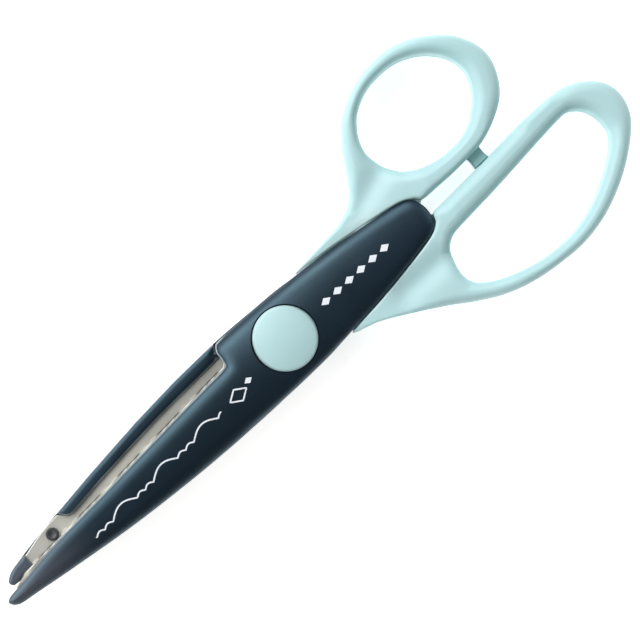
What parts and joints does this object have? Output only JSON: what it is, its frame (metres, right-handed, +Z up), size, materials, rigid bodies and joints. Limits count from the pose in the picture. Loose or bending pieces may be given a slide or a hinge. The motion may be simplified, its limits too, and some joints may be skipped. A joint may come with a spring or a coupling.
{
  "type": "decorative edge scissors",
  "caption": "Craft scissors whose corrugated blades cut a wavy decorative edge, with a plastic cover along each blade, a round cap over the pivot and two finger loops.",
  "frame": {"origin": "on the pivot axis, in the plane that the closed scissors rest on, at the flat face of the rear pivot cap", "axes": "+X from the pivot towards the handles, tips towards -X; +Y towards the thumb loop; +Z up, out of the front cover, along the pivot axis"},
  "size_m": [0.1664, 0.0579, 0.011],
  "materials": {
    "cover_plastic": "satin",
    "handle_plastic": "satin",
    "blade_steel": "bead blasted",
    "screw_steel": "turned",
    "stake_plastic": "matte",
    "bumper_plastic": "matte"
  },
  "bodies": {
    "rear_half": {"rear_cover": "cover_plastic", "rear_blade": "blade_steel", "finger_handle": "handle_plastic", "rear_blade_stake": "stake_plastic", "rear_tang_rivets": "screw_steel", "rear_pivot_cap": "handle_plastic", "pivot_sleeve": "screw_steel", "pivot_screw": "screw_steel", "screw_washer": "screw_steel", "spring_washer": "screw_steel"},
    "front_half": {"front_cover": "cover_plastic", "front_blade": "blade_steel", "thumb_handle": "handle_plastic", "front_blade_stake": "stake_plastic", "front_tang_rivets": "screw_steel", "front_pivot_cap": "handle_plastic", "stop_bumper": "bumper_plastic"}
  },
  "joints": [
    {"name": "pivot", "type": "hinge", "parent": "rear_half", "child": "front_half", "pos_m": [0, 0, 0], "axis": [0, 0, 1], "range_deg": [0, 38]}
  ]
}
